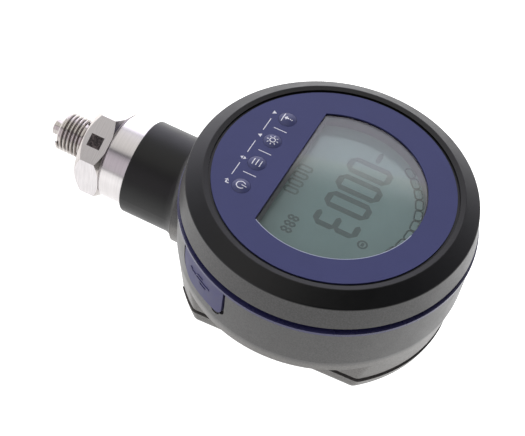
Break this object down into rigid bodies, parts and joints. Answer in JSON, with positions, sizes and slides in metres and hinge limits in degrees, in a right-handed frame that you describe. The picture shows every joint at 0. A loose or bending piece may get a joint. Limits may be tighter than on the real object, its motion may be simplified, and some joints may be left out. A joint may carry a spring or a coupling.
{
  "type": "digital pressure gauge",
  "caption": "Digital pressure gauge with a round head, half-moon display window, push keys, screwed battery cover, hinged service-port flap and a turning stainless pipe-thread fitting.",
  "frame": {"origin": "on the axis of the round head, in the plane of the battery cover's outer face, on which the gauge lies", "axes": "+Z out of the display, +X the reading direction of the display, +Y from the keys to the top of the display, with the threaded fitting towards -Y"},
  "size_m": [0.0922, 0.1418, 0.0477],
  "materials": {
    "case_plastic": "fine spark-eroded texture",
    "ring_plastic": "satin, dark blue",
    "foil_film": "satin printed film, blue",
    "key_film": "satin embossed film, dark blue",
    "window_pane": "clear, polished",
    "frame_plastic": "satin grey",
    "lcd_face": "reflective display, grey green",
    "light_guide": "milky",
    "seal_rubber": "moulded black",
    "board_laminate": "green solder mask",
    "screw_steel": "zinc plated",
    "contact_nickel": "nickel plated sheet",
    "cell_wrap": "printed sleeve",
    "wire_cover": "insulated wire",
    "connector_plastic": "natural",
    "flap_rubber": "soft, blue",
    "stainless": "turned",
    "ceramic": "fired white"
  },
  "bodies": {
    "head": {"rear_case": "case_plastic", "front_case": "case_plastic", "design_ring": "ring_plastic", "keypad_foil": "foil_film", "display_window": "window_pane", "lcd_frame": "frame_plastic", "lcd_panel": "lcd_face", "backlight_guide": "light_guide", "lcd_contact_strip": "seal_rubber", "main_board": "board_laminate", "key_domes": "contact_nickel", "board_screws": "screw_steel", "case_screws": "screw_steel", "battery_cover": "case_plastic", "battery_cover_seal": "seal_rubber", "battery_cover_screws": "screw_steel", "battery_cell_1": "cell_wrap", "battery_cell_2": "cell_wrap", "battery_cell_3": "cell_wrap", "battery_springs": "contact_nickel", "battery_plates": "contact_nickel", "battery_leads": "wire_cover", "port_socket": "contact_nickel", "port_board": "board_laminate", "port_board_screws": "screw_steel", "port_connector": "connector_plastic", "sensor_lead": "connector_plastic"},
    "connection": {"process_fitting": "stainless", "sensor_cell": "ceramic", "sensor_board": "board_laminate", "retaining_ring": "screw_steel", "neck_seal": "seal_rubber", "stop_pin": "screw_steel"},
    "power_key": {"key_power": "key_film"},
    "menu_key": {"key_menu": "key_film"},
    "light_key": {"key_light": "key_film"},
    "zero_key": {"key_zero": "key_film"},
    "flap": {"port_flap": "flap_rubber"}
  },
  "joints": [
    {"name": "connection_turn", "type": "hinge", "parent": "head", "child": "connection", "pos_m": [0, -0.0635, 0.0159], "axis": [0, -1, 0], "range_deg": [-165, 165]},
    {"name": "power_key_press", "type": "slide", "parent": "head", "child": "power_key", "axis": [0, 0, -1], "range_m": [0, 0.0005], "stiffness_N_per_m": 5000},
    {"name": "menu_key_press", "type": "slide", "parent": "head", "child": "menu_key", "axis": [0, 0, -1], "range_m": [0, 0.0005], "stiffness_N_per_m": 5000},
    {"name": "light_key_press", "type": "slide", "parent": "head", "child": "light_key", "axis": [0, 0, -1], "range_m": [0, 0.0005], "stiffness_N_per_m": 5000},
    {"name": "zero_key_press", "type": "slide", "parent": "head", "child": "zero_key", "axis": [0, 0, -1], "range_m": [0, 0.0005], "stiffness_N_per_m": 5000},
    {"name": "flap_swing", "type": "hinge", "parent": "head", "child": "flap", "pos_m": [0.03936, -0.02263, 0.03305], "axis": [-0.4985, -0.8669, 0], "range_deg": [0, 100]}
  ]
}
